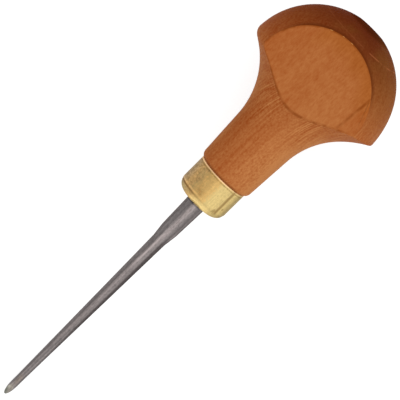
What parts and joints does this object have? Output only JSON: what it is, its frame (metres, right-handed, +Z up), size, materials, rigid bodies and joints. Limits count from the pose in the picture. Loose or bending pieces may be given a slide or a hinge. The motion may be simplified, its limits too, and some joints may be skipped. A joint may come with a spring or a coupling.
{
  "type": "micro u-gouge",
  "caption": "Palm carving gouge: turned mushroom-shaped wooden handle with a sanded flat, brass ferrule and a slim tapered steel blade with a narrow U channel.",
  "frame": {"origin": "on the surface that the tool lies on, below the middle of its length", "axes": "+X along the tool from the cutting tip towards the butt, +Z up from the surface, the flat of the head facing up"},
  "size_m": [0.129, 0.04, 0.0352],
  "materials": {
    "pear_wood": "satin oiled, fine grain along the tool",
    "brass": "drawn, polished, lightly tarnished",
    "blade_steel": "forged and ground along the length, dark grey, bright bevel"
  },
  "bodies": {
    "root": {"handle": "pear_wood", "ferrule": "brass", "blade": "blade_steel"}
  },
  "joints": []
}
